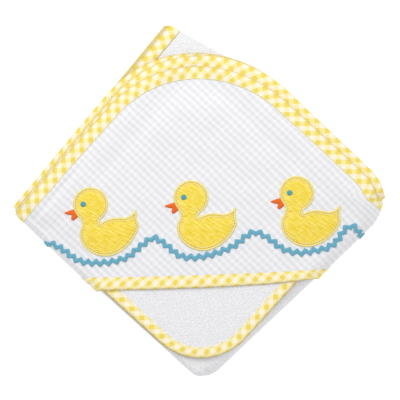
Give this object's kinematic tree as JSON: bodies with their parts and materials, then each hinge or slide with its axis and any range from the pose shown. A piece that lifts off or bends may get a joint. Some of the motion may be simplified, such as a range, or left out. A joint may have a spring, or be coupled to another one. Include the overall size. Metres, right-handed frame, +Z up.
{
  "type": "hooded baby towel",
  "caption": "Folded hooded baby towel with gingham-bound edges, waffle hood with duck appliques and rickrack, and a washcloth tucked under the hood.",
  "frame": {"origin": "on the ground under the middle of the folded package", "axes": "+Z up, +Y towards the tip of the hood, +X to the right as seen from above with the hood's mouth nearest"},
  "size_m": [0.2783, 0.2624, 0.0284],
  "materials": {
    "terry_white": "looped terry",
    "pique_white": "diagonal pique",
    "gingham_yellow": "yarn-dyed plain weave",
    "rickrack_blue": "woven braid",
    "duck_yellow": "plain weave",
    "thread_cream": "satin thread",
    "beak_orange": "satin thread",
    "eye_blue": "satin thread"
  },
  "bodies": {
    "towel": {"towel_body": "terry_white", "towel_binding": "gingham_yellow", "hood_panel": "pique_white", "hood_mouth_binding": "gingham_yellow", "rickrack_trim": "rickrack_blue", "duck_applique_left": "duck_yellow", "duck_applique_middle": "duck_yellow", "duck_applique_right": "duck_yellow", "duck_edge_stitching_left": "thread_cream", "duck_edge_stitching_middle": "thread_cream", "duck_edge_stitching_right": "thread_cream", "duck_beak_left": "beak_orange", "duck_beak_middle": "beak_orange", "duck_beak_right": "beak_orange", "duck_eye_left": "eye_blue", "duck_eye_middle": "eye_blue", "duck_eye_right": "eye_blue"},
    "washcloth": {"washcloth_body": "terry_white", "washcloth_binding": "gingham_yellow"}
  },
  "joints": [
    {"name": "washcloth_slide", "type": "slide", "parent": "towel", "child": "washcloth", "axis": [0, -1, 0], "range_m": [0, 0.07]}
  ]
}
